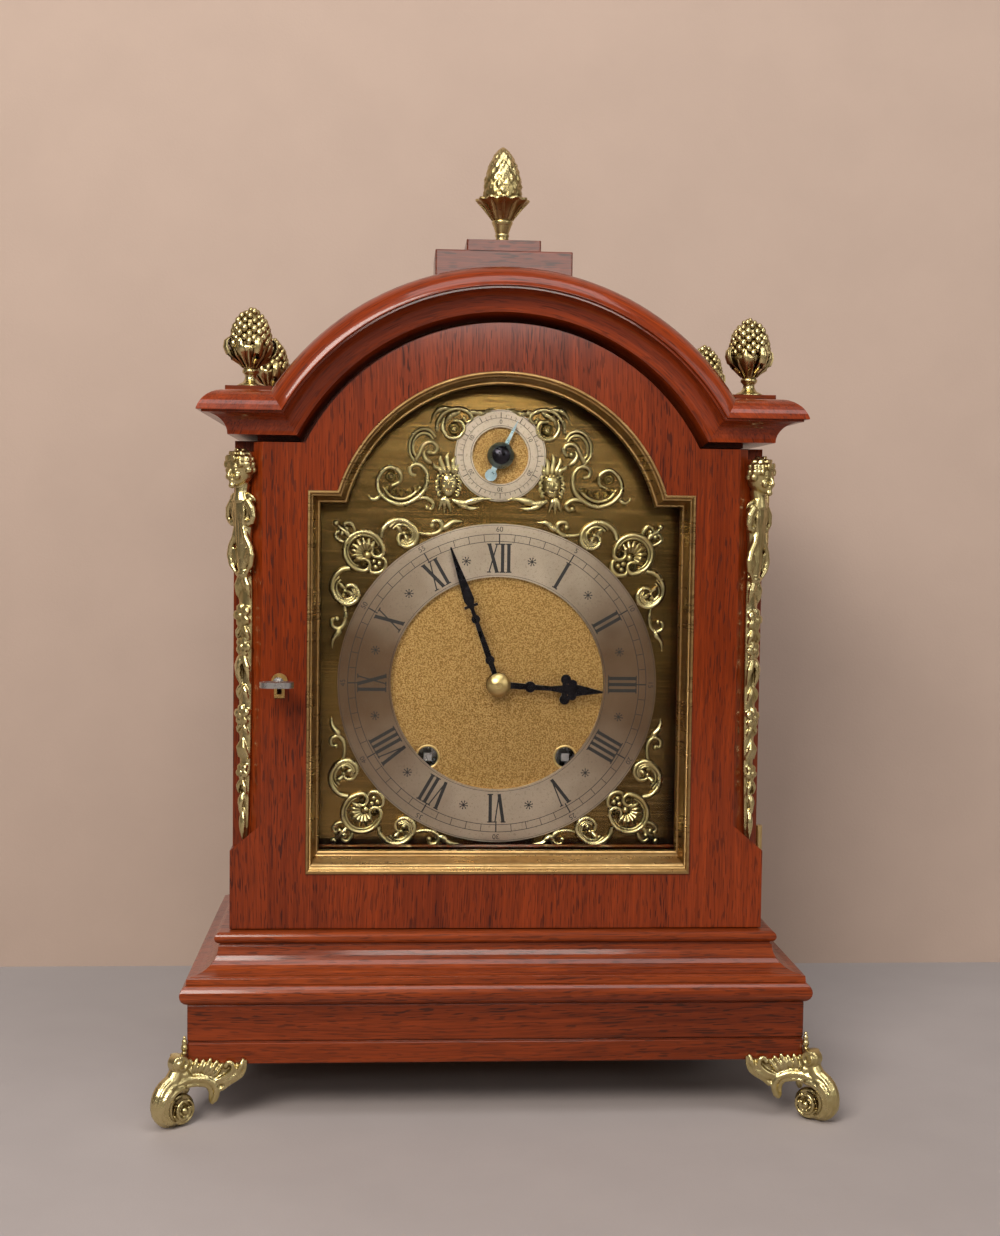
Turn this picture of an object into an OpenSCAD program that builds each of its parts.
// Bracket clock with a break-arch walnut case, brass mounts and a spring-driven
// two-train movement that strikes the quarters on two coiled gongs.
// Frame: origin on the floor below the middle of the clock, +Z up, +Y to the back.

/* [Case] */
// Width of the case and its door
case_w = 228; // [222:1:236]
// Depth of the case from the door's face to the back
case_d = 139; // [138:1:150]
// Thickness of the front door
door_t = 16; // [15:0.5:17]
// Thickness of the side boards
side_t = 15; // [13.5:0.5:16]
// Height of the door's straight sides
door_side_h = 205.7; // [203:0.5:212]
// Width of the flat shoulders beside the arch of the door
shoulder_w = 20.7; // [19.5:0.1:22.5]
// Leg of the chamfers on the door's front corners
chamfer_leg = 13; // [10:0.5:14]
// Gap between the arch of the door and the moulding round it
arch_gap = 2.5; // [2.2:0.1:4]

/* [Base] */
// How far the plinth stands out at the sides and the front
plinth_out = 15.7; // [14:0.5:20]
// Height of the plinth block
plinth_h = 25; // [20:1:32]
// Height of the moulding between plinth and case
base_moulding_h = 27.7; // [26.5:0.5:34]
// Height of the plinth above the floor, which the feet make up
foot_rise = 24.5; // [24:0.5:30]
// Thickness of the wooden boards in the base
base_wall = 14; // [12:0.5:18]

/* [Cornice] */
// Height of the cornice moulding
cornice_h = 20.3; // [19:0.5:24]
// How far the cornice stands out at its widest
cornice_out = 13.4; // [11:0.5:16]
// Width of the upper step of the block on the crown
crown_step_w = 32; // [26:1:40]
// Height of the upper step of the block on the crown
crown_step_h = 5; // [3:0.5:8]

/* [Brass mounts] */
// Height of the pineapple finials on the corners
corner_finial_h = 34; // [30:1:40]
// Height of the acorn finial on the crown
top_finial_h = 42.6; // [38:0.2:50]
// Radius of the scroll under each foot
foot_scroll_r = 9; // [8:0.25:10]
// Width of the brass sight frame on the door
sight_w = 4.5; // [3.5:0.25:6]

/* [Dial] */
// Half width of the opening in the door
opening_half_w = 81.5; // [79:0.5:82]
// Radius of the arch of the opening
opening_arch_r = 72.5; // [70:0.5:74]
// Outer radius of the chapter ring
ring_r = 70; // [66:0.5:72]
// Inner radius of the chapter ring
ring_bore_r = 46.8; // [42:0.5:50]
// Height of the middle of the hands above the foot of the case
hands_rise = 103.3; // [102.5:0.1:104.5]
// Length of the minute hand
minute_len = 63.3; // [56:0.5:66]
// Length of the hour hand
hour_len = 46; // [38:0.5:46.5]
// Angle of the minute hand, clockwise from twelve
minute_angle = 340.2; // [0:0.1:359.9]
// Angle of the hour hand, clockwise from twelve
hour_angle = 93.8; // [0:0.1:359.9]

/* [Movement] */
// Distance between the two plates
plate_gap = 47.5; // [46:0.5:50]
// Thickness of the brass plates
plate_t = 2.5; // [2:0.25:3]
// Sideways distance from the middle to each winding arbor
wind_x = 30.3; // [29.5:0.1:31]
// Distance of the winding arbors below the hands
wind_drop = 32.5; // [31:0.25:34]
// Length of the pendulum from its pivot to the middle of the bob
pendulum_len = 118.5; // [112:0.5:122]
// Radius of the pendulum bob
bob_r = 16; // [13:0.5:18]
// Radius of the rod of the low gong
gong_rod_r = 1.6; // [1.3:0.1:1.8]
// Gap between two turns of a gong
gong_turn_gap = 2.4; // [2:0.1:3]
// Turns of each gong
gong_turns = 4; // [3:1:4]

/* [Hidden] */

// Small clearances, used wherever one piece fits another
gap = 0.3;
fit = 0.05;
eps = 0.01;

// Case outline, measured from the middle of the clock
half_w = case_w / 2;
back_out = 2.7;
front_y = plinth_out - (case_d + plinth_out + back_out) / 2;
back_y = front_y + case_d;
door_back_y = front_y + door_t;
body_y = door_back_y + gap;
plinth_top = foot_rise + plinth_h;
case_z = plinth_top + base_moulding_h;
door_z = case_z + 0.4;
shoulder_z = door_z + door_side_h;
cornice_z = shoulder_z + 1;
cornice_top = cornice_z + cornice_h;
arch_z = cornice_z - 42.9;
door_arch_r = half_w - shoulder_w;
arch_r0 = door_arch_r + arch_gap;
arch_r1 = arch_r0 + cornice_h;
crown_z = arch_z + arch_r1;
inner_half_w = half_w - side_t;
board_t = 10.3;
top_inner_z = cornice_z - board_t;
top_inner_r = arch_r0 - 11.5;

// Places where the cornice turns from the shoulders into the arch
mitre_x0 = sqrt(pow(arch_r0, 2) - pow(cornice_z - arch_z, 2));
mitre_x1 = sqrt(pow(arch_r1, 2) - pow(cornice_top - arch_z, 2));

// Sight frame, glass and dial, from the front to the back
sight_depth = 9;
sight_y = front_y - 0.8;
glass_y = front_y + sight_depth;
glass_t = 2;
mask_y = body_y;
mask_t = 7.4;
plate_y = mask_y + mask_t + gap;
dial_t = 1.6;
dial_back_y = plate_y + dial_t;
ring_t = 2;
opening_z = case_z + 24.3;
hands_z = case_z + hands_rise;
opening_shoulder_z = arch_z + 21.4;
dial_half_w = opening_half_w + 3.5;
wind_z = hands_z - wind_drop;
reg_z = arch_z + 38.7;
reg_r = 19.9;
reg_bore_r = 12.3;
reg_boss_r = 5.8;

// Movement, between its two plates
front_plate_y = front_y + 39;
between_y0 = front_plate_y + plate_t;
between_y1 = between_y0 + plate_gap;
back_plate_y1 = between_y1 + plate_t;
seat_t = 8;
seat_z = case_z + 20.8;
plate_z0 = seat_z + seat_t;
plate_z1 = plate_z0 + 144;
plate_half_w = 66;
pivot_r = 0.9;
hour_y = front_y + 17.5;
minute_y = hour_y - 2.5;
hand_t = 1;
cannon_r = 2;
hour_pipe_r = 3.2;

// Wheels: teeth and module of each pair, then the distance of their arbors
great_n = 72;
great_m = 0.75;
great_pinion_n = 12;
second_n = 60;
second_m = 0.6;
centre_pinion_n = 10;
centre_n = 84;
centre_m = 0.4;
third_pinion_n = 7;
third_n = 78;
third_m = 0.38;
escape_pinion_n = 7;
escape_n = 39;
escape_r = 13;
pin_m = 0.6;
pin_pinion_n = 8;
strike_third_n = 56;
strike_third_m = 0.45;
cannon_n = 12;
minute_wheel_n = 36;
minute_wheel_m = 0.5;
minute_pinion_n = 10;
hour_wheel_n = 40;
hour_wheel_m = 0.48;
play = 0.15;
function arbor_gap(n1, n2, m) = (n1 + n2) * m / 2 + play;
second_gap = arbor_gap(great_n, great_pinion_n, great_m);
centre_gap = arbor_gap(second_n, centre_pinion_n, second_m);
third_gap = arbor_gap(centre_n, third_pinion_n, centre_m);
escape_gap = arbor_gap(third_n, escape_pinion_n, third_m);
pin_gap = arbor_gap(second_n, pin_pinion_n, pin_m);
fly_gap = arbor_gap(strike_third_n, escape_pinion_n, strike_third_m);
minute_gap = arbor_gap(cannon_n, minute_wheel_n, minute_wheel_m);

// A place at a distance and a direction from another one
function from(p, r, a) = [p[0] + r * cos(a), p[1] + r * sin(a)];
function angle_to(p, q) = atan2(q[1] - p[1], q[0] - p[0]);

// Arbors of the going train, as [x, z]
going_p = [wind_x, wind_z];
centre_p = [0, hands_z];
to_centre = norm(centre_p - going_p);
along = (pow(second_gap, 2) - pow(centre_gap, 2) + pow(to_centre, 2)) / (2 * to_centre);
second_p = from(from(going_p, along, angle_to(going_p, centre_p)),
    sqrt(pow(second_gap, 2) - pow(along, 2)), angle_to(going_p, centre_p) - 90);
third_p = from(centre_p, third_gap, 70);
escape_p = [0, third_p[1] + sqrt(pow(escape_gap, 2) - pow(third_p[0], 2))];
pallet_p = [0, escape_p[1] + escape_r * 1.42];
minute_p = from(centre_p, minute_gap, 250);

// Arbors of the strike train, as [x, z]
strike_p = [-wind_x, wind_z];
pin_p = from(strike_p, second_gap, 110);
strike_third_p = from(pin_p, pin_gap, 75);
fly_p = from(strike_third_p, fly_gap, 70);
hammer_low_p = [-58, hands_z + 20.5];
hammer_high_p = [-48, hands_z + 35.5];

// Phase that lets a wheel with n2 teeth mesh with one of n1 teeth at phase ph1
function mesh(p, q, n1, ph1, n2) = let(a = angle_to(p, q))
    a + 180 + 180 / n2 + (a - ph1) * n1 / n2;

// Places along the movement's depth where each wheel turns
great_y = between_y1 - 10;
great_t = 2.5;
drum_r = 22;
drum_y0 = between_y0 + 7;
second_y = great_y + 4.6;
centre_y = between_y0 + 9;
third_y = between_y0 + 17.5;
escape_y = between_y0 + 27;
strike_third_y = between_y0 + 13.5;
fly_y = between_y0 + 27.5;

// Gongs: two coils behind the pendulum
pendulum_y = back_plate_y1 + 10;
gong_y = pendulum_y + 9.7;
gong_step_y = 7;
gong_z = case_z + 58.8;
gong_start_r = 9;
high_rod_r = gong_rod_r - 0.2;
post_y = gong_y + 10.2;
post_t = 3;
bob_t = 9;

// Hinges of the two doors
hinge_r = 1.6;
hinge_pin_r = 0.8;
hinge_h = 30;
hinge_leaf_t = 1;
hinge_leaf_w = 9;
front_hinge_x = half_w + hinge_r + 0.2;
front_hinge_y = door_back_y + gap / 2;
front_hinge_zs = [case_z + 12, shoulder_z - 46];
back_door_t = 12;
back_door_y = back_y - back_door_t;
back_half_w = half_w - 12;
back_hinge_x = back_half_w - 0.2;
back_hinge_y = back_y + hinge_r + 0.1;
back_hinge_zs = [case_z + 20, top_inner_z - 52];
back_stile_w = 20;

// Key and latch of the front door
key_x = -half_w + 20.5;
key_z = hands_z + 2.5;
latch_r = 8.5;
spindle_r = 1.5;
back_latch_x = -back_half_w + 10;
back_latch_z = hands_z + 2.5;

// Points on an arc about [cx, cy], from angle a0 to a1 in n steps
function arc(cx, cy, r, a0, a1, n = 8) =
    [for (i = [0:n]) let(a = a0 + (a1 - a0) * i / n) [cx + r * cos(a), cy + r * sin(a)]];

// Points on a cubic curve with the corner points a, b, c and d
function curve(a, b, c, d, n = 8) = [for (i = [0:n]) let(t = i / n)
    a * pow(1 - t, 3) + b * 3 * t * pow(1 - t, 2) + c * 3 * t * t * (1 - t) + d * pow(t, 3)];

// Extrudes an outline in X and Z from y0 to y1
module slab(y0, y1) {
    translate([0, y1, 0]) rotate([90, 0, 0]) linear_extrude(y1 - y0) children();
}

// A round bar along Y about the place p
module bar(p, r, y0, y1, fn = 48) {
    translate([p[0], y1, p[1]]) rotate([90, 0, 0]) cylinder(h = y1 - y0, r = r, $fn = fn);
}

// Outline with straight sides, square shoulders and an arch
module arch_outline(hw, z0, zs, r) {
    translate([-hw, z0]) square([2 * hw, zs - z0]);
    intersection() {
        translate([0, arch_z]) circle(r, $fn = 128);
        translate([-r, zs - 1]) square([2 * r, r + arch_z]);
    }
}

// Outline of a wheel with straight-flanked teeth, its tooth 0 at the angle phase
module gear_outline(p, n, m, phase) {
    root = n * m / 2 - 1.15 * m;
    tip = n * m / 2 + 0.75 * m;
    step = 360 / n;
    translate(p) rotate(phase) polygon([for (i = [0:n - 1]) let(a = i * step)
        for (t = [[root, -0.27], [tip, -0.1], [tip, 0.1], [root, 0.27]])
            t[0] * [cos(a + t[1] * step), sin(a + t[1] * step)]]);
}

// A wheel with four crossings
module wheel(p, n, m, phase, y0, y1, hub_r = 3) {
    rim = n * m / 2 - 1.15 * m - 1.8;
    slab(y0, y1) difference() {
        gear_outline(p, n, m, phase);
        translate(p) for (a = [45:90:315]) intersection() {
            difference() {
                circle(rim, $fn = 64);
                circle(hub_r + 1, $fn = 48);
            }
            rotate(a) translate([1.2, 1.2]) square(rim);
        }
    }
}

// Profile of the moulding over the base: how far out, and height
function base_profile(back) = concat(
    [[-back, 0], [plinth_out - 0.5, 0]],
    arc(plinth_out - 1.5, 4.25, 4.5, -70, 70),
    [[plinth_out + 0.6, 8.5], [plinth_out + 0.3, 11], [plinth_out - 1.2, 11.2]],
    arc(plinth_out - 1.2, 21.8, 10.4, -90, -180),
    [[plinth_out - 12.3, 21.8], [plinth_out - 12.3, 22.6]],
    arc(3.4, base_moulding_h - 2.5, 2.4, -80, 80),
    [[-back, base_moulding_h]]);

// Profile of the cornice: how far out, and height
cove_r = 8.5;
function cornice_profile(back) = concat(
    [[-back, 0]],
    arc(cornice_out - 3.4, 1.9, cove_r, 180, 90),
    [[cornice_out - 2.2, 10.4], [cornice_out - 2.2, 11.2], [cornice_out - 0.2, 11.4]],
    arc(cornice_out - 11.4, cornice_h - 11.6, 11.6, 16, 90),
    [[-back, cornice_h]]);

// A moulding profile run round the front and both sides, with mitred corners
module moulded_block(points, z) {
    depth = back_y - front_y + 60;
    translate([0, 0, z]) intersection() {
        translate([0, back_y, 0]) rotate([90, 0, 0]) linear_extrude(depth)
            polygon(concat([for (p = points) if (p[0] > -5) [half_w + p[0], p[1]]],
                [for (i = [len(points) - 1:-1:0]) let(p = points[i]) if (p[0] > -5)
                    [-half_w - p[0], p[1]]]));
        translate([-half_w - 50, 0, 0]) rotate([90, 0, 90]) linear_extrude(case_w + 100)
            polygon(concat([for (p = points) if (p[0] > -5) [front_y - p[0], p[1]]],
                [[back_y, points[len(points) - 1][1]], [back_y, 0]]));
    }
}

// Plinth: a mitred frame with a scored line above the strip along its foot
plinth_d = case_d + plinth_out + back_out;
strip_h = 9;
module plinth() {
    color("sienna") translate([0, 0, foot_rise]) difference() {
        translate([-half_w - plinth_out, front_y - plinth_out, 0])
            cube([case_w + 2 * plinth_out, plinth_d, plinth_h]);
        translate([-half_w - plinth_out + base_wall, front_y - plinth_out + base_wall, -1])
            cube([case_w + 2 * (plinth_out - base_wall),
                plinth_d - 2 * base_wall, plinth_h + 2]);
        for (x = [-1, 1]) translate([x > 0 ? half_w + plinth_out - 0.6 : -half_w - plinth_out - 1,
            front_y - plinth_out - 1, strip_h]) cube([1.6, plinth_d + 2, 0.7]);
        translate([-half_w - plinth_out - 1, front_y - plinth_out - 1, strip_h])
            cube([case_w + 2 * plinth_out + 2, 1.6, 0.7]);
    }
}

module base_moulding() {
    color("saddlebrown") difference() {
        moulded_block(base_profile(base_wall), plinth_top);
        translate([-half_w + base_wall, front_y + base_wall, plinth_top - 1])
            cube([case_w - 2 * base_wall, case_d - 2 * base_wall, base_moulding_h + 2]);
    }
}

module base_board() {
    color("peru") translate([-half_w + base_wall, front_y + base_wall, case_z - 12])
        cube([case_w - 2 * base_wall, case_d - 2 * base_wall, 12]);
}

// Scrolled foot at the corner of the plinth: two leaf wings and a leg that
// sweeps out along the diagonal to its scroll. Drawn for the front right corner.
foot_t = 9;
wing_t = 2;
bar_t = 4.4;
module scroll_foot() {
    bow = concat(curve([-3.4, 21.4], [4, 25.4], [13.6, 23.6], [13.6, 10.6], 8),
        curve([10.6, 10.6], [10.8, 19.4], [3, 21.4], [-3.4, 17.6], 8));
    leg = concat([[-9, foot_rise], [-9, 21]],
        curve([-9, 21], [-6, 14], [2, 17], [1, 9]),
        curve([4, 2.2], [10, 0.2], [15.5, 4], [14.6, 10.5]),
        curve([14.6, 10.5], [14, 17], [3.5, 22], [3, 30], 7),
        [[3, foot_rise + 10], [-3, foot_rise + 10]]);
    wing = concat([[0, foot_rise - 2.4]],
        curve([0, foot_rise - 2.4], [10, 20], [13, 12], [20, 14.5], 6),
        curve([20, 14.5], [22.5, 18], [17.5, 19.5], [21, 23], 4),
        curve([21, 23], [26.5, 25], [28.5, 30.5], [24.5, 31.5], 4),
        curve([24.5, 31.5], [17, 29], [9, 30.5], [4, foot_rise + 12], 5), [[0, foot_rise + 12]]);
    // Leg along the diagonal, kept outside the plinth block
    difference() {
        rotate([0, 0, -45]) intersection() {
            translate([0, foot_t / 2, 0]) rotate([90, 0, 0]) linear_extrude(foot_t)
                union() {
                    polygon(leg);
                    translate([6.2, foot_scroll_r - 0.4]) circle(foot_scroll_r, $fn = 48);
                }
            translate([-20, -20, 0]) cube([60, 40, foot_rise + 20]);
        }
        translate([-60, 0, foot_rise]) cube([60, 60, 60]);
        // Groove that leaves the eye of the scroll standing on both cheeks
        rotate([0, 0, -45]) for (y = [foot_t / 2 + 1, -foot_t / 2 + 1.4])
            translate([6, y, foot_scroll_r - 0.6]) rotate([90, 0, 0]) difference() {
                cylinder(h = 2.4, r = foot_scroll_r - 2.6, $fn = 40);
                translate([0, 0, -1]) cylinder(h = 5, r = 2.9, $fn = 32);
            }
    }
    // Curled ear where the leaves meet at the corner
    rotate([0, 0, -45]) translate([4.6, 3.6, foot_rise + 1.4]) rotate([90, 0, 0])
        cylinder(h = 7.2, r = 3.9, $fn = 32);
    // Bar that bows under each wing, and the wings against both faces of the
    // plinth, joined by a seat under its corner
    rotate([90, 0, 0]) linear_extrude(bar_t) mirror([1, 0]) polygon(bow);
    translate([bar_t, 0, 0]) rotate([90, 0, 90]) mirror([0, 0, 1]) linear_extrude(bar_t)
        polygon(bow);
    rotate([90, 0, 0]) linear_extrude(wing_t) mirror([1, 0]) polygon(wing);
    translate([wing_t, 0, 0]) rotate([90, 0, 90]) mirror([0, 0, 1]) linear_extrude(wing_t)
        polygon(wing);
    translate([-14, -wing_t, foot_rise - 2.4]) cube([14 + wing_t, 14 + wing_t, 2.4]);
    translate([0, -wing_t, foot_rise - 2.4]) cube([wing_t, wing_t, 14.4]);
}

module scroll_feet() {
    px = half_w + plinth_out;
    yf = front_y - plinth_out;
    yb = back_y + back_out;
    color("gold") {
        for (s = [0, 1]) mirror([s, 0, 0]) {
            translate([px, yf, 0]) scroll_foot();
            translate([px, yb, 0]) mirror([0, 1, 0]) scroll_foot();
        }
    }
}

// Side boards, rebated at the back for the back door, with hinge recesses
module side_board() {
    difference() {
        translate([inner_half_w, body_y, case_z])
            cube([side_t, back_y - body_y, cornice_z - case_z]);
        translate([inner_half_w - 1, back_door_y - gap, case_z - 1])
            cube([back_half_w - inner_half_w + 1, case_d, cornice_z]);
    }
}

module side_left() {
    color("sienna") difference() {
        mirror([1, 0, 0]) side_board();
        // Slots that the tongues of the front and back latches turn into
        translate([-inner_half_w - 3.4, body_y + 0.6, key_z - 3]) cube([3.5, 3.2, 13]);
        translate([-back_half_w - 3.4, back_door_y - 3.8, back_latch_z - 3]) cube([7, 3.2, 13]);
    }
}

module side_right() {
    color("sienna") difference() {
        side_board();
        for (z = front_hinge_zs) translate([front_hinge_x - hinge_leaf_w - fit, body_y - 1, z])
            cube([hinge_leaf_w, hinge_leaf_t + 1 + fit, hinge_h]);
    }
}

// Boards under the cornice and the barrel-shaped top behind its moulding
module arched_top() {
    color("sienna") {
        slab(body_y, back_y) difference() {
            arch_outline(inner_half_w, cornice_z - board_t, cornice_z, arch_r0);
            arch_outline(inner_half_w - 12, cornice_z - 60, top_inner_z, top_inner_r);
        }
        slab(front_y + 10, back_y) difference() {
            arch_outline(half_w - 10, cornice_z, cornice_top, arch_r1);
            arch_outline(mitre_x0, cornice_z - 60, cornice_z, arch_r0);
        }
    }
}

// The wedge of the front that belongs to the arch of the cornice
module arch_wedge() {
    polygon([[-mitre_x0, cornice_z], [mitre_x0, cornice_z], [mitre_x1, cornice_top],
        [mitre_x1, crown_z + 5], [-mitre_x1, crown_z + 5], [-mitre_x1, cornice_top]]);
}

module cornice() {
    color("saddlebrown") {
        difference() {
            moulded_block(cornice_profile(10), cornice_z);
            translate([-half_w + 10, front_y + 10, cornice_z - 1])
                cube([case_w - 20, case_d, cornice_h + 2]);
            slab(front_y - 40, front_y + 20) arch_wedge();
        }
        intersection() {
            translate([0, front_y, arch_z]) rotate([90, 0, 0]) rotate_extrude($fn = 180)
                translate([arch_r0, 0]) mirror([1, -1]) polygon(cornice_profile(10));
            slab(front_y - 40, front_y + 20) arch_wedge();
        }
    }
}

// Stepped block on the crown, its foot hollowed to sit on the arch, and the
// small square blocks under the corner finials
crown_block_d = 34;
crown_block_y = front_y + 14;
corner_x = half_w - 6.5;
corner_ys = [front_y + 17, back_y - 18];
block_side = 20;
block_h = 2.6;
module top_blocks() {
    step_z = crown_z + 9.6;
    color("saddlebrown") {
        difference() {
            union() {
                translate([-crown_step_w * 0.92, crown_block_y, crown_z - 10])
                    cube([crown_step_w * 1.84, crown_block_d, step_z - crown_z + 10]);
                translate([-crown_step_w / 2, crown_block_y + 3, step_z - 1])
                    cube([crown_step_w, crown_block_d - 6, crown_step_h + 1]);
            }
            bar([0, arch_z], arch_r1, front_y, back_y, 180);
        }
        for (s = [-1, 1]) for (y = corner_ys)
            translate([s * corner_x - block_side / 2, y - block_side / 2, cornice_top])
                cube([block_side, block_side, block_h]);
    }
}

// Turned acorn finial on the crown
crown_top = crown_z + 9.6 + crown_step_h;
finial_y = crown_block_y + crown_block_d / 2;
module finial_top() {
    k = top_finial_h / 42.6;
    color("gold") translate([0, finial_y, crown_top]) rotate_extrude($fn = 64) polygon(k * [[0, 0],
        [6.8, 0], [6.8, 0.8], [5.2, 1.3], [3.1, 1.9], [2.7, 3], [3.1, 4.1], [2.8, 4.8], [3.4, 6.6],
        [4.2, 8.6], [4.6, 9.7], [4.2, 10.5], [4.7, 11.3], [6.2, 13.6], [8.2, 16.4], [10.8, 18],
        [11.6, 18.8], [9.2, 19.8], [8.5, 20.4], [8.5, 21.8], [8.35, 24.6], [7.75, 27.8],
        [6.85, 31], [5.6, 34.2], [4, 37.4], [1.9, 40.5], [0.9, 42.1], [0, 42.6]]);
}

// Pineapple finials, each in a cup with four scrolled leaves
module corner_finial() {
    k = corner_finial_h / 34;
    scale(k) {
        rotate_extrude($fn = 64) polygon([[0, 0], [6, 0], [6, 0.7], [5.4, 1.2], [3.6, 2], [2.7, 3.2],
            [2.4, 4.8], [3, 5.6], [3.6, 6.2], [3.6, 7.2], [3, 7.8], [3.4, 9], [5.4, 11.2],
            [7.6, 13.4], [9.2, 15.6], [9.3, 17.4], [9.1, 20], [8.5, 23], [7.3, 26.4],
            [5.7, 29.4], [3.7, 31.9], [1.8, 33.4], [0, 34]]);
        for (a = [22.5:90:292.5]) rotate(a) translate([8.6, 0, 17.2]) rotate([90, 0, 0])
            translate([0, 0, -1.6]) cylinder(h = 3.2, r = 2.8, $fn = 24);
    }
}

module corner_finials() {
    color("gold") for (s = [-1, 1]) for (y = corner_ys)
        translate([s * corner_x, y, cornice_top + block_h]) corner_finial();
}

// Front door: one arched board with a glazed opening, chamfered corners and
// a lip round the arch so that its back clears the moulding as it swings
lip_t = 4;
lip_relief = 4;
stile_inner_z = opening_z + 6.5;
module door_outline(inset = 0) {
    translate([-half_w, door_z]) square([case_w, shoulder_z - door_z - inset]);
    intersection() {
        translate([0, arch_z]) circle(door_arch_r - inset, $fn = 180);
        translate([-door_arch_r, shoulder_z - 1 - inset]) square([2 * door_arch_r, 2 * door_arch_r]);
    }
}

module opening_outline(inset = 0, foot = 0) {
    arch_outline(opening_half_w - inset, opening_z + inset + foot, opening_shoulder_z - inset,
        opening_arch_r - inset);
}

chamfer_z = case_z + 33.8;
figure_h = shoulder_z - 2.3 - chamfer_z;
module front_door() {
    color("sienna") difference() {
        union() {
            slab(front_y, front_y + lip_t) door_outline();
            slab(front_y + lip_t - eps, door_back_y) door_outline(lip_relief);
        }
        // Rebate for the glass and the sight frame, with a lip behind them
        slab(front_y - 1, glass_y + glass_t) opening_outline();
        slab(front_y - 1, door_back_y + 1) opening_outline(sight_w - 1, 5.5);
        // Chamfers, each with a sloping stop at its foot
        for (s = [0, 1]) mirror([s, 0, 0]) difference() {
            translate([half_w, front_y, chamfer_z]) rotate([0, 0, 45])
                cube([chamfer_leg * sqrt(2), chamfer_leg * sqrt(2), 400], center = true);
            translate([half_w - 30, front_y - 30, chamfer_z - 250]) cube([60, 60, 250]);
            translate([half_w, front_y, chamfer_z]) rotate([0, 0, 45]) rotate([0, 50, 0])
                translate([-60, -40, -40]) cube([60, 80, 40]);
        }
        // Bore for the spindle of the latch, and keyhole
        bar([key_x, key_z], spindle_r + 0.3, front_y - 1, door_back_y + 1);
        translate([key_x - 1, front_y - 1, key_z - 5.5]) cube([2, 4, 5.5]);
        bar([key_x, key_z], 5, front_y + 1.2, front_y + 6.1);
        for (z = front_hinge_zs)
            translate([front_hinge_x - hinge_leaf_w - fit, door_back_y - hinge_leaf_t - fit, z])
                cube([hinge_leaf_w, hinge_leaf_t + 1, hinge_h]);
    }
}

// Brass sight frame, stepped down from the face of the door to the glass
module sight_frame() {
    steps = 5;
    color("goldenrod") {
        slab(sight_y, front_y) difference() {
            opening_outline(-0.6);
            opening_outline(0.9, 1.2);
        }
        for (i = [0:steps - 1]) slab(front_y + i * sight_depth / steps,
            front_y + (i + 1) * sight_depth / steps) difference() {
                opening_outline(fit);
                opening_outline(0.9 + i * (sight_w - 0.9) / (steps - 1), 1.2 + i * 7.5 / (steps - 1));
            }
    }
}

module door_glass() {
    color("lightblue", 0.3) slab(glass_y, glass_y + glass_t) opening_outline(gap);
}

// A low boss with its axis along Y, flat behind
module boss(x, z, r, h) {
    translate([x, 0, z]) rotate([90, 0, 0]) rotate_extrude($fn = 40)
        polygon([[0, 0], [r, 0], [r, h * 0.35], [r * 0.78, h * 0.8], [r * 0.35, h], [0, h]]);
}

// Cast figure mounts on the chamfers: a curly head over a scrolled bust, a long
// scroll and a drop of flowers, all flat behind
mount_edge = [[0.4, -1.6], [3.2, -15], [3.2, -18.6], [7.4, -20.4], [8.2, -25], [7.6, -31.4],
    [4.4, -36], [6.6, -41], [7.4, -46], [6.4, -50.4], [4.2, -53.6], [5, -60], [4.6, -64.6],
    [5.2, -70], [4.4, -77], [4.6, -84], [4.2, -89], [4.8, -95], [3.8, -104], [4.6, -112],
    [3.4, -121], [4, -129], [3.6, -137], [2.8, -147], [2.6, -156], [1.6, -164], [0.8, -168.6]];
mount_flowers = [[0.4, -70.6, 4.8], [-0.5, -83.6, 4.4], [0.2, -95.4, 3.8], [0, -104, 3.4],
    [0.3, -112.8, 4.4], [0, -125.4, 3.4], [-0.2, -137, 3.7], [0.2, -146.4, 2.8],
    [0.3, -154.4, 2.4], [0, -162.4, 1.8]];
mount_k = figure_h / 170;
function both_sides(pts, inset) = concat([for (p = pts) [p[0] - inset, p[1] * mount_k]],
    [for (i = [len(pts) - 1:-1:0]) [inset - pts[i][0], pts[i][1] * mount_k]]);
module figure_mount() {
    d = chamfer_leg / 2;
    bust = [for (i = [3:9]) mount_edge[i]];
    translate([half_w - d, front_y + d, chamfer_z + figure_h]) rotate([0, 0, 45]) {
        slab(-2.2, 0) polygon(both_sides(mount_edge, 0));
        // Head with a roll of curls, on its neck
        boss(0, -8, 7.2, 8.6);
        for (a = [0:45:180]) boss(6 * cos(a), -8 + 6 * sin(a), 2, 5);
        slab(-4.6, 0) translate([-2.4, -20]) square([4.8, 10]);
        // Bust, with a volute at each shoulder and a curl under it
        slab(-4.8, 0) polygon(both_sides(bust, 1.4));
        for (x = [-4.4, 4.4]) boss(x, -25.8, 3.4, 6.4);
        for (x = [-3.6, 3.6]) boss(x, -46 * mount_k, 3, 5.6);
        boss(0, -59 * mount_k, 3.8, 5.4);
        // Drop of flowers that dwindles to a bud
        for (f = mount_flowers) boss(f[0], f[1] * mount_k, f[2], 2.4 + f[2] * 0.5);
    }
}

module figure_mounts() {
    color("gold") for (s = [0, 1]) mirror([s, 0, 0]) figure_mount();
}

// Keyhole plate let flush into the stile
module key_plate() {
    color("goldenrod") slab(front_y - 0.6, front_y - eps) difference() {
        union() {
            translate([key_x, key_z]) circle(3.4, $fn = 40);
            translate([key_x - 2.2, key_z - 7]) square([4.4, 7]);
        }
        translate([key_x, key_z]) circle(spindle_r + 0.3, $fn = 40);
        translate([key_x - 1, key_z - 5.5]) square([2, 5.5]);
    }
}

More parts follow.
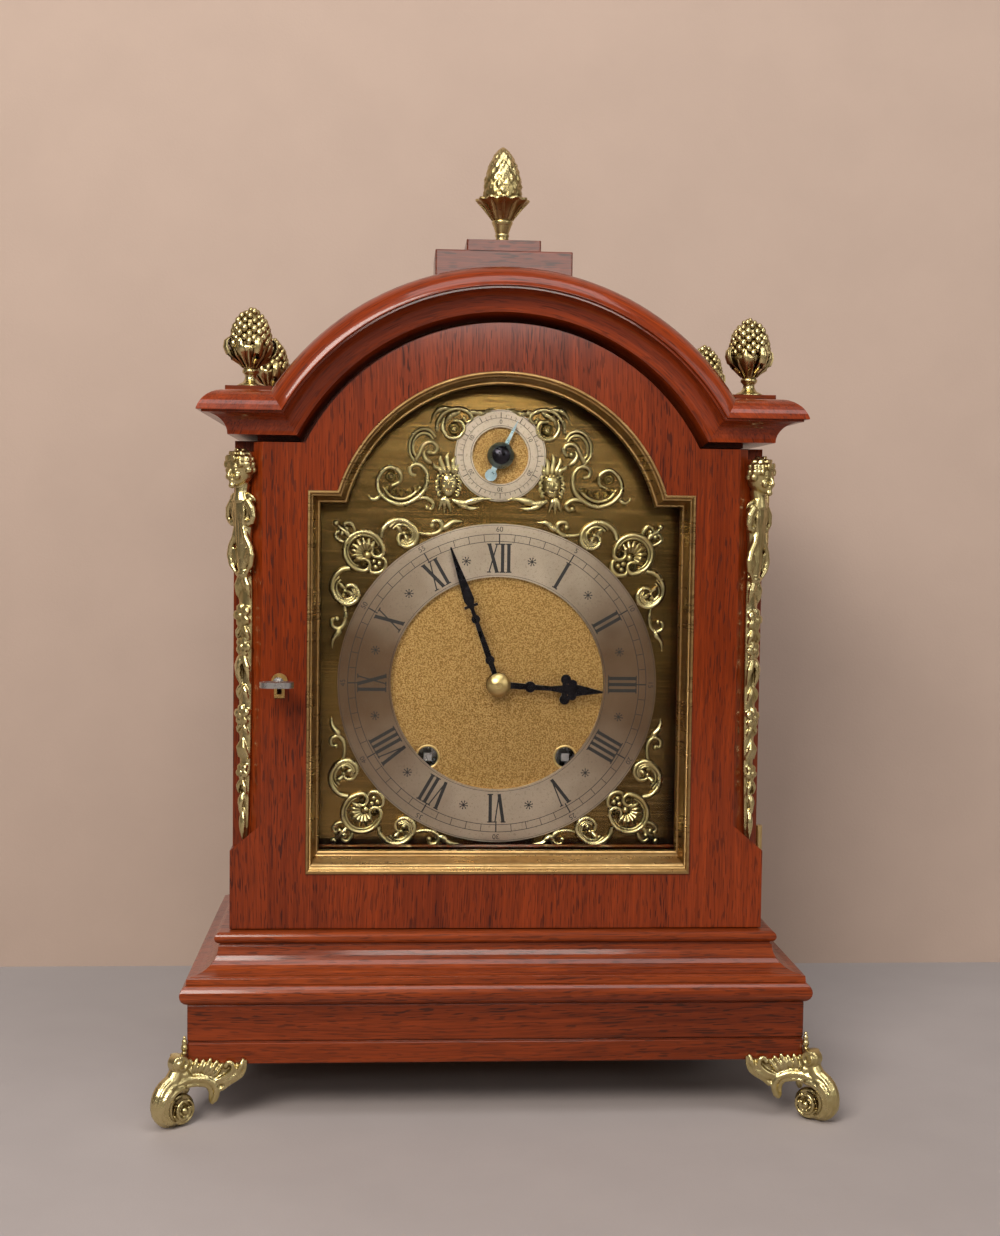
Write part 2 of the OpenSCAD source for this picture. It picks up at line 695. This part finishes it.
// Steel key, its bow lying level
bow_y = front_y - 16;
module door_key() {
    color("dimgray") {
        bar([key_x, key_z], spindle_r, bow_y + 3.6, front_y + 6);
        bar([key_x, key_z], 2.3, front_y - 8, front_y - 6.2);
        translate([key_x, bow_y, key_z - 1.2]) difference() {
            linear_extrude(2.4) hull() for (s = [-1, 1]) translate([s * 3, 0]) circle(4, $fn = 40);
            for (s = [-1, 1]) translate([s * 3, 0, -1]) cylinder(h = 5, r = 1.9, $fn = 32);
        }
        translate([key_x - 4.6, front_y + 1.6, key_z - 0.8]) cube([4.6, 4.1, 1.6]);
    }
}

// Latch behind the stile: a socket for the key and a tongue that turns sideways
module door_latch() {
    color("darkgoldenrod") {
        bar([key_x, key_z], spindle_r + 0.25, front_y + 6.3, door_back_y + 2.7);
        slab(door_back_y + 1.2, door_back_y + 2.7) hull() {
            translate([key_x, key_z]) circle(3, $fn = 40);
            translate([key_x, key_z + latch_r - 1.6]) circle(1.6, $fn = 32);
        }
    }
}

// Butt hinge about a vertical axis: its leaf along -X, one half of the knuckles
knuckle = hinge_h / 3;
module hinge_half(moving, leaf_y) {
    zs = moving ? [knuckle] : [0, 2 * knuckle];
    difference() {
        union() {
            for (z = zs) {
                translate([0, 0, z + (z == 0 ? 0 : fit)])
                    cylinder(h = knuckle - (z == 0 ? fit : z > knuckle ? fit : 2 * fit),
                        r = hinge_r, $fn = 40);
                translate([-hinge_leaf_w, leaf_y, z + fit])
                    cube([hinge_leaf_w, hinge_leaf_t, knuckle - 2 * fit]);
            }
            translate([-hinge_leaf_w, leaf_y, fit])
                cube([hinge_leaf_w - hinge_r - 0.3, hinge_leaf_t, hinge_h - 2 * fit]);
        }
        if (moving) translate([0, 0, -1]) cylinder(h = hinge_h + 2, r = hinge_pin_r + fit, $fn = 32);
    }
    if (!moving) cylinder(h = hinge_h, r = hinge_pin_r, $fn = 32);
}

module front_hinge_leaves() {
    color("goldenrod") for (z = front_hinge_zs) translate([front_hinge_x, front_hinge_y, z])
        hinge_half(true, -hinge_leaf_t - gap / 2);
}

module back_hinge_leaves() {
    color("goldenrod") for (z = back_hinge_zs) translate([back_hinge_x, back_hinge_y, z])
        hinge_half(true, back_y - back_hinge_y);
}

// Fixed halves of all four hinges, with their pins
module hinge_fixed_leaves() {
    color("goldenrod") {
        for (z = front_hinge_zs) translate([front_hinge_x, front_hinge_y, z])
            hinge_half(false, gap / 2);
        for (z = back_hinge_zs) translate([back_hinge_x, back_hinge_y, z]) mirror([1, 0, 0])
            hinge_half(false, back_y - back_hinge_y);
    }
}

// Back door: an arched frame with a rebate for its glass
module back_outline(inset) {
    arch_outline(back_half_w - inset, case_z + inset, top_inner_z - inset, top_inner_r - inset);
}

module back_door() {
    color("sienna") difference() {
        slab(back_door_y, back_y) back_outline(0.4);
        slab(back_door_y - 1, back_y + 1) back_outline(0.4 + back_stile_w);
        slab(back_door_y - 1, back_door_y + 4) back_outline(0.4 + back_stile_w - 5);
        bar([back_latch_x, back_latch_z], spindle_r + 0.2, back_door_y - 1, back_y + 1);
    }
}

module back_glass() {
    color("lightblue", 0.3) slab(back_door_y + 2, back_door_y + 4)
        back_outline(0.8 + back_stile_w - 5);
}

// Knob of the back door, with the tongue that it turns
module back_latch() {
    color("goldenrod") {
        translate([back_latch_x, back_y + fit, back_latch_z]) rotate([-90, 0, 0]) {
            rotate_extrude($fn = 48) polygon(concat([[0, 0], [5, 0], [5, 1], [2.2, 1.6]],
                arc(5.2, 3.6, 3, 215, 140, 4), arc(0, 7.6, 5.4, -25, 90, 8)));
        }
        bar([back_latch_x, back_latch_z], spindle_r, back_door_y - 2.8, back_y + 1);
        slab(back_door_y - 2.9, back_door_y - 1.4) hull() {
            translate([back_latch_x, back_latch_z]) circle(3, $fn = 40);
            translate([back_latch_x, back_latch_z + latch_r + 0.4]) circle(1.6, $fn = 32);
        }
    }
}

// Wooden mask that frames the dial behind the door, pocketed for the latch
module dial_mask() {
    color("saddlebrown") difference() {
        slab(mask_y, mask_y + mask_t) difference() {
            arch_outline(inner_half_w - gap, case_z, top_inner_z - gap, top_inner_r - gap);
            arch_outline(opening_half_w - 0.5, opening_z + 2, opening_shoulder_z - 0.5,
                opening_arch_r - 1);
        }
        bar([key_x, key_z], latch_r + 1.1, mask_y - 1, mask_y + 2.8);
    }
}

module dial_plate() {
    color("goldenrod") slab(plate_y, dial_back_y) difference() {
        arch_outline(dial_half_w, opening_z, opening_shoulder_z + 2, opening_arch_r + 2);
        translate(centre_p) circle(hour_pipe_r + 0.4, $fn = 48);
        for (x = [-wind_x, wind_x]) translate([x, wind_z]) circle(4.7, $fn = 48);
        translate([0, reg_z]) circle(1.5 + fit, $fn = 32);
    }
}

module chapter_ring() {
    color("silver") slab(plate_y - ring_t, plate_y) difference() {
        translate(centre_p) circle(ring_r, $fn = 180);
        translate(centre_p) circle(ring_bore_r, $fn = 180);
    }
}

// A cast scroll: a raised ring with a boss and three leaf ribs
spandrel_t = 2.6;
module scroll_form(r, w) {
    difference() {
        cylinder(h = spandrel_t, r = r, $fn = 48);
        translate([0, 0, -1]) cylinder(h = spandrel_t + 2, r = r - w, $fn = 48);
    }
    cylinder(h = spandrel_t + 0.6, r = r * 0.36, $fn = 32);
    for (a = [40:120:280]) rotate(a) translate([0, -w / 2, 0]) cube([r - w / 2, w, spandrel_t - 0.6]);
}

// A flat leaf between two curves that share their ends
module leaf_form(a, b, c, d, e, f) {
    linear_extrude(spandrel_t - 0.4) polygon(concat(curve(a, b, c, d, 7),
        [for (p = curve(d, e, f, a, 7)) if (p != d && p != a) p]));
}

spandrel_in = 22;
module corner_form() {
    scroll_form(10.5, 2.6);
    translate([-17, 7.6, 0]) scroll_form(5.4, 1.9);
    translate([7.6, -17, 0]) scroll_form(5.4, 1.9);
    leaf_form([-7, 4], [-12, 12], [-18, 15], [-25, 10], [-18, 9], [-13, 4]);
    leaf_form([4, -7], [12, -12], [15, -18], [10, -25], [9, -18], [4, -13]);
    leaf_form([3, 8], [9, 13], [12, 12], [15, 15], [12, 12], [13, 8]);
}

module arch_form() {
    scroll_form(8.4, 2.4);
    translate([12.4, -4, 0]) scroll_form(5, 1.8);
    translate([-9.5, -7.5, 0]) scroll_form(4.6, 1.7);
    leaf_form([-5, 5], [-10, 10], [-16, 8], [-17, 1], [-14, 4], [-10, 3]);
    leaf_form([6, 4], [11, 9], [12, 15], [8, 19], [8, 13], [4, 10]);
}

module spandrels() {
    cx = opening_half_w - 2 - spandrel_in;
    color("gold") translate([0, plate_y, hands_z]) rotate([90, 0, 0]) {
        for (s = [0, 1]) for (t = [0, 1]) mirror([s, 0, 0]) mirror([0, t, 0])
            translate([cx, cx - 1, 0]) corner_form();
        for (s = [0, 1]) mirror([s, 0, 0]) translate([39, reg_z - 12 - hands_z, 0]) arch_form();
    }
}

module regulation_ring() {
    color("silver") slab(plate_y - 1.4, plate_y) difference() {
        translate([0, reg_z]) circle(reg_r, $fn = 96);
        translate([0, reg_z]) circle(reg_bore_r, $fn = 96);
    }
}

// Regulation hand on its own arbor through the plate
reg_angle = 26;
module regulation_hand() {
    color("steelblue") {
        slab(plate_y - 3.2, plate_y - 2.4) translate([0, reg_z]) rotate(-reg_angle) {
            circle(3.6, $fn = 40);
            polygon([[-1.3, 0], [-0.5, 13], [0, 17.5], [0.5, 13], [1.3, 0]]);
            polygon([[-1, 0], [-1.2, -8], [1.2, -8], [1, 0]]);
            translate([0, -9.5]) circle(2.6, $fn = 32);
        }
        translate([0, plate_y - 3.2, reg_z]) rotate([90, 0, 0]) rotate_extrude($fn = 48)
            polygon(concat([[0, 0], [reg_boss_r, 0]], arc(0, -1.6, 6.02, 15.5, 90, 8)));
        bar([0, reg_z], 1.5, plate_y - 3.2, dial_back_y + 2);
        bar([0, reg_z], 3, dial_back_y + gap, dial_back_y + 2);
    }
}

// Lays a hand that is drawn pointing up over its pipe, turned to the time
module hand(y, angle, bore_r) {
    translate([0, y + hand_t, hands_z]) rotate([90, 0, 0]) rotate(-angle) difference() {
        union() children();
        translate([0, 0, -1]) cylinder(h = hand_t + 2, r = bore_r, $fn = 48);
    }
}

module minute_hand() {
    l = minute_len;
    color("black") hand(minute_y, minute_angle, cannon_r + fit) {
        cylinder(h = hand_t, r = 4, $fn = 48);
        linear_extrude(hand_t) polygon([[-1, 0], [-1.3, l * 0.25], [-0.8, l * 0.55], [-2.3, l * 0.62],
            [-0.35, l], [0.35, l], [2.3, l * 0.62], [0.8, l * 0.55], [1.3, l * 0.25], [1, 0]]);
        for (b = [[11.6, 2], [30.4, 1.9], [36.4, 1.3]]) translate([0, b[0], 0])
            cylinder(h = hand_t, r = b[1], $fn = 32);
        translate([-3.1, 35.8, 0]) cube([6.2, 1.2, hand_t]);
    }
}

module hour_hand() {
    l = hour_len;
    color("black") hand(hour_y, hour_angle, hour_pipe_r + fit) {
        cylinder(h = hand_t, r = 5.2, $fn = 48);
        linear_extrude(hand_t) polygon([[-1.5, 0], [-1, l * 0.5], [-2.6, l * 0.74], [-0.35, l],
            [0.35, l], [2.6, l * 0.74], [1, l * 0.5], [1.5, 0]]);
        translate([0, 14, 0]) cylinder(h = hand_t, r = 2.4, $fn = 32);
        for (s = [-1, 1]) {
            translate([s * 4.4, 29.4, 0]) cylinder(h = hand_t, r = 2.2, $fn = 32);
            translate([s * 2.6, 32.6, 0]) cylinder(h = hand_t, r = 1.9, $fn = 32);
        }
        translate([-4.4, 28, 0]) cube([8.8, 2.4, hand_t]);
    }
}

// Domed collet that holds the minute hand, and the taper pin through the arbor
module hand_collet() {
    color("goldenrod") {
        translate([0, minute_y - fit, hands_z]) rotate([90, 0, 0]) difference() {
            rotate_extrude($fn = 48) polygon(concat([[0, 0], [5.2, 0]], arc(0, -4.2, 6.68, 39, 75, 6),
                [[0, 2.3]]));
            translate([0, 0, -1]) cylinder(h = 5, r = 1.2 + fit, $fn = 32);
        }
    }
}

// Cannon pinion: drives the motion work and carries the minute hand
module cannon_pinion() {
    color("goldenrod") difference() {
        union() {
            slab(front_plate_y - 6.5, front_plate_y - 1)
                gear_outline(centre_p, cannon_n, minute_wheel_m, 0);
            bar(centre_p, cannon_r, minute_y, front_plate_y - 1);
        }
        bar(centre_p, 1.1 + fit, minute_y - 1, front_plate_y);
    }
}

module minute_wheel() {
    color("goldenrod") difference() {
        union() {
            wheel(minute_p, minute_wheel_n, minute_wheel_m,
                mesh(centre_p, minute_p, cannon_n, 0, minute_wheel_n),
                front_plate_y - 4.5, front_plate_y - 3, 3);
            slab(front_plate_y - 10, front_plate_y - 4.4)
                gear_outline(minute_p, minute_pinion_n, hour_wheel_m, 0);
            bar(minute_p, 3, front_plate_y - 4.4, front_plate_y - 1);
        }
        bar(minute_p, 1 + fit, front_plate_y - 11, front_plate_y);
    }
}

module hour_wheel() {
    color("goldenrod") difference() {
        union() {
            wheel(centre_p, hour_wheel_n, hour_wheel_m,
                mesh(minute_p, centre_p, minute_pinion_n, 0, hour_wheel_n),
                front_plate_y - 9, front_plate_y - 7.5, 4);
            bar(centre_p, hour_pipe_r, hour_y, front_plate_y - 7.5);
        }
        bar(centre_p, cannon_r + fit, hour_y - 1, front_plate_y - 6);
    }
}

// Four feet that hold the dial off the movement
foot_ps = [[-58, plate_z0 + 8], [58, plate_z0 + 8], [-58, plate_z1 - 8], [58, plate_z1 - 8]];
module dial_feet() {
    color("goldenrod") for (p = foot_ps) {
        bar(p, 3, dial_back_y, front_plate_y);
        bar(p, 4, dial_back_y, dial_back_y + 1.5);
    }
}

// Board that carries the movement, on rails fixed to the side boards
seat_y0 = front_plate_y - 12;
seat_y1 = back_plate_y1 + 3.5;
module seat_board() {
    color("peru") translate([-inner_half_w + gap, seat_y0, seat_z])
        cube([2 * (inner_half_w - gap), seat_y1 - seat_y0, seat_t]);
}

module seat_rails() {
    color("peru") for (s = [0, 1]) mirror([s, 0, 0])
        translate([inner_half_w - 11, seat_y0, seat_z - 10]) cube([11, seat_y1 - seat_y0, 10]);
}

// Holes that both plates share: pivots of the trains and the screws of the pillars
train_ps = [second_p, third_p, escape_p, pin_p, strike_third_p, fly_p];
pillar_ps = [[-56, plate_z0 + 18], [56, plate_z0 + 18], [-58, plate_z1 - 16], [58, plate_z1 - 16]];
winder_r = 2.5;
module plate(y0) {
    slab(y0, y0 + plate_t) difference() {
        translate([-plate_half_w, plate_z0]) square([2 * plate_half_w, plate_z1 - plate_z0]);
        for (p = train_ps) translate(p) circle(pivot_r + fit, $fn = 32);
        for (p = [going_p, strike_p]) translate(p) circle(winder_r + fit, $fn = 40);
        translate(centre_p) circle(1.1 + fit, $fn = 32);
    }
}

// Front plate with the stud of the minute wheel
module front_plate() {
    color("goldenrod") {
        difference() {
            plate(front_plate_y);
            for (p = [pallet_p, hammer_low_p, hammer_high_p])
                bar(p, pivot_r + fit, front_plate_y - 1, between_y0 + 1, 32);
        }
        bar(minute_p, 1, front_plate_y - 10.6, front_plate_y);
    }
}

module back_plate() {
    color("goldenrod") difference() {
        plate(between_y1);
        for (p = [pallet_p, hammer_low_p, hammer_high_p])
            bar(p, 1.5 + fit, between_y1 - 1, back_plate_y1 + 1);
    }
}

module plate_pillars() {
    color("goldenrod") for (p = pillar_ps) translate([p[0], between_y1, p[1]]) rotate([90, 0, 0])
        rotate_extrude($fn = 48) polygon(concat([[0, 0], [4.6, 0], [4.6, 2.5], [3, 3.5]],
            arc(-13, plate_gap / 2, 17.2, -9, 9, 6),
            [[3, plate_gap - 3.5], [4.6, plate_gap - 2.5], [4.6, plate_gap], [0, plate_gap]]));
}

// Cock behind the back plate, slotted for the pendulum's spring
spring_t = 0.3;
module pendulum_cock() {
    y1 = pendulum_y + 3.5;
    z0 = pallet_p[1];
    color("goldenrod") difference() {
        union() {
            for (x = [-12, 9]) translate([x, back_plate_y1, z0 - 3])
                cube([3, y1 - back_plate_y1, 13]);
            translate([-12, pendulum_y - 2.5, z0 + 1]) cube([24, 6, 9]);
        }
        translate([-4.4, pendulum_y - spring_t / 2 - fit, z0])
            cube([8.8, spring_t + 2 * fit, 11]);
    }
}

// Spring barrel with its great wheel, free on the winding arbor
module barrel(p) {
    difference() {
        union() {
            bar(p, drum_r, drum_y0, great_y, 96);
            slab(great_y, great_y + great_t) gear_outline(p, great_n, great_m, 0);
        }
        bar(p, winder_r + fit, drum_y0 - 1, great_y + 5, 40);
    }
}

module going_barrel() {
    color("goldenrod") barrel(going_p);
}

module strike_barrel() {
    color("goldenrod") barrel(strike_p);
}

// Winding arbor with its ratchet wheel and the square for the key
module winder(p) {
    bar(p, winder_r, front_plate_y, back_plate_y1, 40);
    bar(p, winder_r + 1, between_y0 + gap, drum_y0 - gap, 40);
    slab(front_plate_y - 2.4, front_plate_y - gap) translate(p)
        polygon([for (i = [0:23]) for (t = [[8, 0], [9.6, 12]])
            t[0] * [cos(i * 15 + t[1]), sin(i * 15 + t[1])]]);
    bar(p, winder_r, front_plate_y - 2.4, front_plate_y, 40);
    slab(plate_y - 0.6, front_plate_y - 2.4) translate(p) square(3.4, center = true);
}

module going_winder() {
    color("dimgray") winder(going_p);
}

module strike_winder() {
    color("dimgray") winder(strike_p);
}

// An arbor between the plates, with its pivots
module arbor(p, r) {
    bar(p, r, between_y0 + gap, between_y1 - gap, 32);
    bar(p, pivot_r, front_plate_y, back_plate_y1, 32);
}

// A pinion at phase ph, as long as it needs to be on both sides of its wheel
module pinion(p, n, m, ph, y, t) {
    slab(y - 1.2, y + t + 1.2) gear_outline(p, n, m, ph);
}

wheel_t = 1.4;
module second_wheel() {
    color("goldenrod") {
        pinion(second_p, great_pinion_n, great_m,
            mesh(going_p, second_p, great_n, 0, great_pinion_n), great_y, great_t);
        wheel(second_p, second_n, second_m, 0, second_y, second_y + wheel_t, 4.5);
        arbor(second_p, 1.5);
    }
}

module centre_wheel() {
    color("goldenrod") {
        pinion(centre_p, centre_pinion_n, second_m,
            mesh(second_p, centre_p, second_n, 0, centre_pinion_n), second_y, wheel_t);
        wheel(centre_p, centre_n, centre_m, 0, centre_y, centre_y + wheel_t);
        bar(centre_p, 1.5, between_y0 + gap, between_y1 - gap, 32);
        bar(centre_p, 1.1, minute_y - 2.2, back_plate_y1, 32);
    }
}

module third_wheel() {
    color("goldenrod") {
        pinion(third_p, third_pinion_n, centre_m,
            mesh(centre_p, third_p, centre_n, 0, third_pinion_n), centre_y, wheel_t);
        wheel(third_p, third_n, third_m, 0, third_y, third_y + wheel_t, 2.4);
        arbor(third_p, pivot_r);
    }
}

// Escape wheel with slender raked teeth
module escape_wheel() {
    step = 360 / escape_n;
    color("goldenrod") {
        pinion(escape_p, escape_pinion_n, third_m,
            mesh(third_p, escape_p, third_n, 0, escape_pinion_n), third_y, wheel_t);
        slab(escape_y, escape_y + wheel_t) translate(escape_p) difference() {
            polygon([for (i = [0:escape_n - 1])
                for (t = [[escape_r - 2.2, 0], [escape_r, 0.5], [escape_r, 0.6], [escape_r - 2.2, 0.66]])
                    t[0] * [cos((i + t[1]) * step), sin((i + t[1]) * step)]]);
            for (a = [0:90:270]) rotate(a) intersection() {
                difference() {
                    circle(escape_r - 4, $fn = 48);
                    circle(3.2, $fn = 32);
                }
                translate([0.9, 0.9]) square(escape_r);
            }
        }
        arbor(escape_p, pivot_r);
    }
}

// Pallets on their arbor, with the crutch that embraces the pendulum's rod
pallet_reach = 45;
module pallets() {
    near = escape_r + 1.1;
    far = norm(pallet_p - escape_p);
    // Lower ends of the arms, just clear of the wheel's teeth
    tip = [for (s = [-1, 1]) from(escape_p, near, 90 + s * pallet_reach)];
    color("gray") {
        slab(escape_y - 1, escape_y + wheel_t + 1) difference() {
            union() {
                translate(pallet_p) circle(3.2, $fn = 40);
                for (s = [0, 1]) polygon([pallet_p + [0, 2.6], pallet_p + [0, -2.6],
                    tip[s] + [s == 0 ? 2.4 : -2.4, 1.6], tip[s], tip[s] + [s == 0 ? -2.6 : 2.6, 1.4],
                    pallet_p + [s == 0 ? -far * 0.62 : far * 0.62, -1.4]]);
            }
            translate(escape_p) circle(escape_r + 1, $fn = 90);
        }
        bar(pallet_p, 1.5, between_y0 + gap, back_plate_y1 + 5, 32);
        bar(pallet_p, pivot_r, front_plate_y, between_y0 + 1, 32);
        slab(back_plate_y1 + 1.5, back_plate_y1 + 3) translate(pallet_p) {
            circle(3, $fn = 32);
            translate([-1.2, -32]) square([2.4, 32]);
            translate([-4, -35]) square([8, 4]);
        }
        for (x = [-4, 2.2]) translate([x, back_plate_y1 + 2, pallet_p[1] - 35])
            cube([1.8, pendulum_y - back_plate_y1, 4]);
    }
}

module pendulum() {
    z0 = pallet_p[1];
    bob_z = z0 - pendulum_len;
    rim = curve([bob_r * 0.4, -bob_t / 2], [bob_r * 0.8, -bob_t * 0.44],
        [bob_r, -bob_t * 0.3], [bob_r, -bob_t * 0.1], 6);
    color("goldenrod") {
        translate([-3, pendulum_y - spring_t / 2, z0 - 12]) cube([6, spring_t, 20]);
        translate([-4, pendulum_y - 2, z0 - 17]) cube([8, 4, 6]);
        translate([0, pendulum_y, bob_z - bob_r - 8]) cylinder(h = pendulum_len + bob_r - 8,
            r = 1.4, $fn = 32);
        translate([0, pendulum_y, bob_z]) rotate([90, 0, 0]) rotate_extrude($fn = 96)
            polygon(concat([[0, -bob_t / 2]], rim,
                [for (i = [6:-1:0]) [rim[i][0], -rim[i][1]]], [[0, bob_t / 2]]));
        translate([0, pendulum_y, bob_z - bob_r - 4.6]) cylinder(h = 3, r = 4, $fn = 40);
    }
}

// Strike train
module pin_wheel() {
    color("goldenrod") {
        pinion(pin_p, great_pinion_n, great_m,
            mesh(strike_p, pin_p, great_n, 0, great_pinion_n), great_y, great_t);
        wheel(pin_p, second_n, pin_m, 0, second_y, second_y + wheel_t, 4.5);
        for (a = [0:45:315]) bar(from(pin_p, second_n * pin_m / 2 - 2, a), 0.6,
            second_y - 1.8, second_y + 0.1, 24);
        arbor(pin_p, 1.5);
    }
}

module strike_third_wheel() {
    color("goldenrod") {
        pinion(strike_third_p, pin_pinion_n, pin_m,
            mesh(pin_p, strike_third_p, second_n, 0, pin_pinion_n), second_y, wheel_t);
        wheel(strike_third_p, strike_third_n, strike_third_m, 0,
            strike_third_y, strike_third_y + wheel_t, 2.4);
        arbor(strike_third_p, pivot_r);
    }
}

// Fly: the air brake of the strike train
module fly() {
    color("goldenrod") {
        pinion(fly_p, escape_pinion_n, strike_third_m,
            mesh(strike_third_p, fly_p, strike_third_n, 0, escape_pinion_n), strike_third_y, wheel_t);
        arbor(fly_p, pivot_r);
        translate([fly_p[0] - 8, fly_y, fly_p[1] - 0.4]) cube([16, 16, 0.8]);
        bar(fly_p, 1.6, fly_y - 1, fly_y + 17, 32);
    }
}

// Gongs: flat coils of steel rod, each half turn a little wider than the last
function gong_pitch(rod) = 2 * rod + gong_turn_gap;
function gong_outer(rod) = gong_start_r + gong_turns * gong_pitch(rod);
module gong(rod) {
    p = gong_pitch(rod);
    for (k = [0:2 * gong_turns - 1]) translate([k % 2 == 0 ? 0 : p / 2, 0, 0])
        rotate(k % 2 == 0 ? 0 : 180) rotate_extrude(angle = 180, $fn = 96)
            translate([gong_start_r + k * p / 2, 0]) circle(rod, $fn = 24);
}

module gongs() {
    color("steelblue") {
        translate([0, gong_y, gong_z]) rotate([90, 0, 0]) gong(gong_rod_r);
        translate([0, gong_y + gong_step_y, gong_z]) rotate([90, 0, 0]) gong(high_rod_r);
    }
}

// Iron bracket on the base board, with the block that holds both coils
module gong_bracket() {
    color("dimgray") {
        translate([-12, post_y, case_z]) cube([24, post_t, gong_z - case_z]);
        translate([-14, post_y - 16, case_z]) cube([28, 16 + post_t, 3]);
        translate([gong_start_r - 2.5, gong_y - gong_rod_r - 0.4, gong_z - 4])
            cube([5, post_y - gong_y + gong_rod_r + 0.5, 4]);
    }
}

// Hammers: a head on a long wire from an arbor at the top of the movement
module hammer(p, y, rod) {
    c = [0, gong_z];
    head_l = 9;
    reach = gong_outer(rod) + rod + gap;
    mid_r = reach + head_l / 2;
    turn = acos(mid_r / norm(p - c));
    a = angle_to(c, p) + turn;
    head = from(c, mid_r, a);
    bar(p, 1.5, between_y0 + gap, y + 1.5, 32);
    bar(p, pivot_r, front_plate_y, between_y0 + 1, 32);
    bar(p, 3.2, y - 1.5, y + 1.5, 32);
    slab(y - 0.9, y + 0.9) translate(p) rotate(angle_to(p, head)) translate([0, -0.9])
        square([norm(head - p), 1.8]);
    translate([head[0], y, head[1]]) rotate([0, 90 - a, 0]) translate([0, 0, -head_l / 2])
        cylinder(h = head_l, r = 2.8, $fn = 36);
}

module hammer_low() {
    color("dimgray") hammer(hammer_low_p, gong_y, gong_rod_r);
}

module hammer_high() {
    color("dimgray") hammer(hammer_high_p, gong_y + gong_step_y, high_rod_r);
}

plinth();
base_moulding();
base_board();
scroll_feet();
side_left();
side_right();
arched_top();
cornice();
top_blocks();
finial_top();
corner_finials();
front_door();
sight_frame();
door_glass();
figure_mounts();
key_plate();
door_key();
door_latch();
front_hinge_leaves();
hinge_fixed_leaves();
back_door();
back_glass();
back_latch();
back_hinge_leaves();
dial_mask();
dial_plate();
chapter_ring();
spandrels();
regulation_ring();
regulation_hand();
minute_hand();
hour_hand();
cannon_pinion();
minute_wheel();
hour_wheel();
hand_collet();
dial_feet();
seat_board();
seat_rails();
front_plate();
back_plate();
plate_pillars();
pendulum_cock();
going_barrel();
strike_barrel();
going_winder();
strike_winder();
second_wheel();
centre_wheel();
third_wheel();
escape_wheel();
pallets();
pendulum();
pin_wheel();
strike_third_wheel();
fly();
hammer_low();
hammer_high();
gongs();
gong_bracket();
